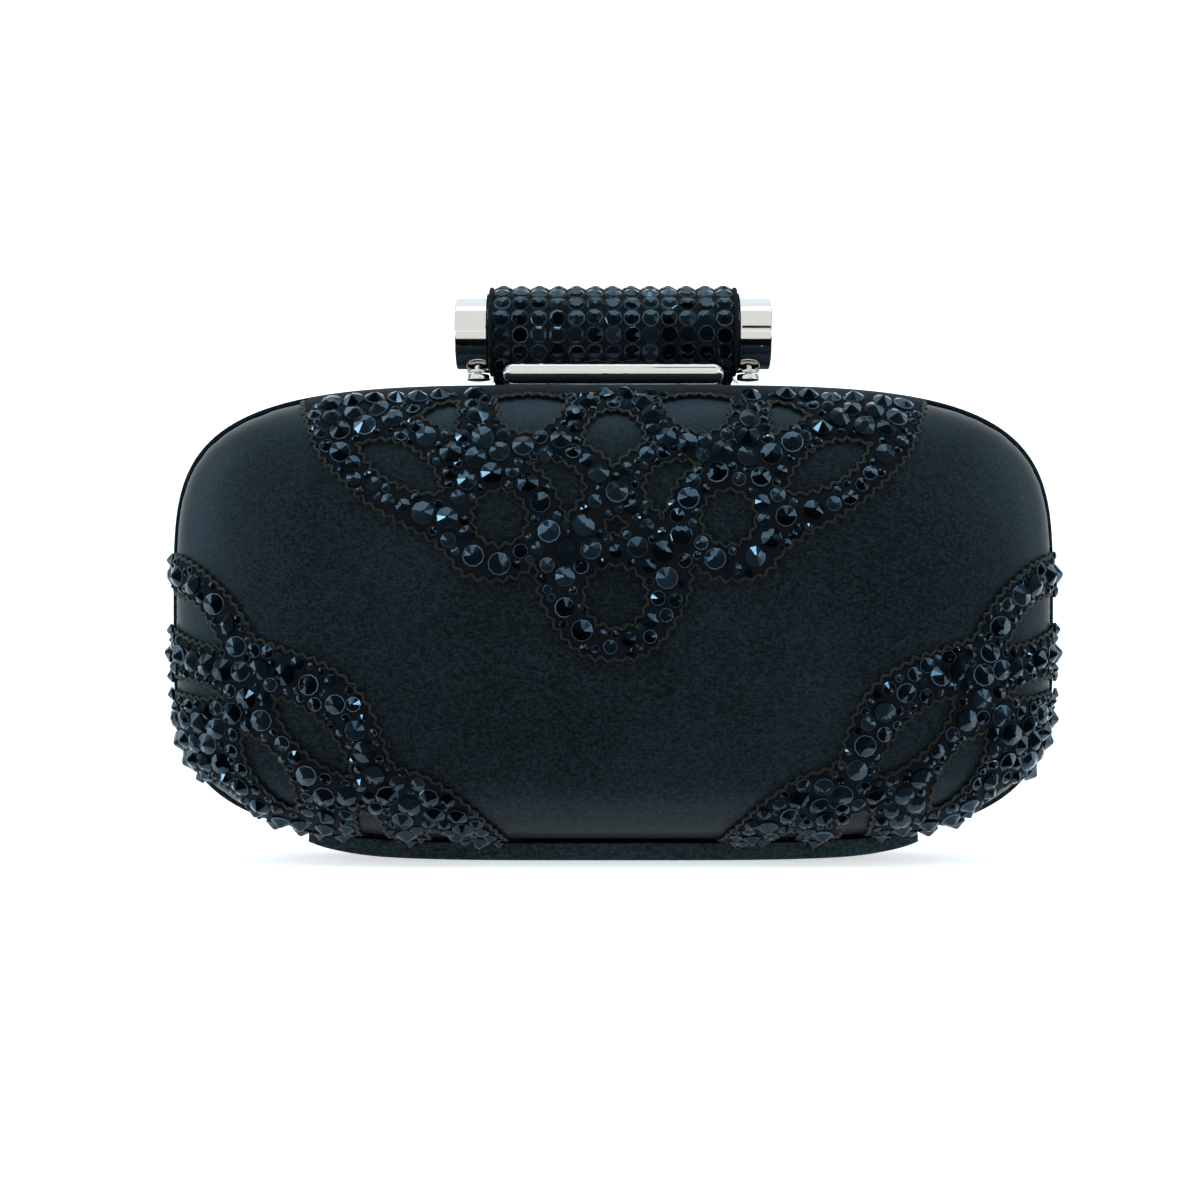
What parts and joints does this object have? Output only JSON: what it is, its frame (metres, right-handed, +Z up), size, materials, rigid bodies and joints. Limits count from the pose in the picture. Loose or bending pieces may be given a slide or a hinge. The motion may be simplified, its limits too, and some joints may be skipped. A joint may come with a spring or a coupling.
{
  "type": "clutch purse",
  "caption": "Hard-shell evening clutch with domed satin halves, beaded openwork appliques, a stone-set tube clasp and a base hinge.",
  "frame": {"origin": "middle of the flat base strip that the purse stands on", "axes": "+X along the width to the right seen from the front, -Y to the front, +Z up"},
  "size_m": [0.1786, 0.0489, 0.1168],
  "materials": {
    "satin": "satin",
    "lining": "matte",
    "foam": "matte",
    "board": "matte",
    "beadwork": "gloss",
    "steel": "brushed",
    "chrome": "mirror polished"
  },
  "bodies": {
    "back_half": {"back_shell": "board", "back_padding": "foam", "back_cover": "satin", "back_lining": "lining", "back_frame": "steel", "back_rim_wrap": "satin", "slip_pocket": "lining", "back_hinge_leaf": "steel", "hinge_pin": "steel", "hinge_cover": "satin", "clasp_bracket": "steel", "clasp_pivot_pin": "steel", "clasp_spring": "steel", "bracket_rivet_left": "chrome", "bracket_rivet_right": "chrome", "left_gusset": "lining", "right_gusset": "lining"},
    "front_half": {"front_shell": "board", "front_padding": "foam", "front_cover": "satin", "front_lining": "lining", "front_frame": "steel", "front_rim_wrap": "satin", "top_applique": "beadwork", "left_applique": "beadwork", "right_applique": "beadwork", "front_hinge_leaf": "steel", "keeper_bar": "chrome", "keeper_rivet_left": "chrome", "keeper_rivet_right": "chrome"},
    "clasp": {"clasp_core": "steel", "bead_sleeve": "beadwork", "left_collar": "beadwork", "right_collar": "beadwork", "left_cap": "chrome", "right_cap": "chrome", "left_leg": "satin", "right_leg": "satin", "catch_hook": "steel", "left_cap_screw": "chrome", "right_cap_screw": "chrome", "left_cap_washer": "chrome", "right_cap_washer": "chrome"}
  },
  "joints": [
    {"name": "front_half_hinge", "type": "hinge", "parent": "back_half", "child": "front_half", "pos_m": [0, 0, 0.00195], "axis": [1, 0, 0], "range_deg": [0, 40], "deforming": ["hinge_cover", "left_gusset", "right_gusset"]},
    {"name": "clasp_tilt", "type": "hinge", "parent": "back_half", "child": "clasp", "pos_m": [0, 0.007, 0.0976], "axis": [-1, 0, 0], "range_deg": [0, 30], "stiffness_Nm_per_rad": 0.03, "springref_deg": -28.65}
  ]
}
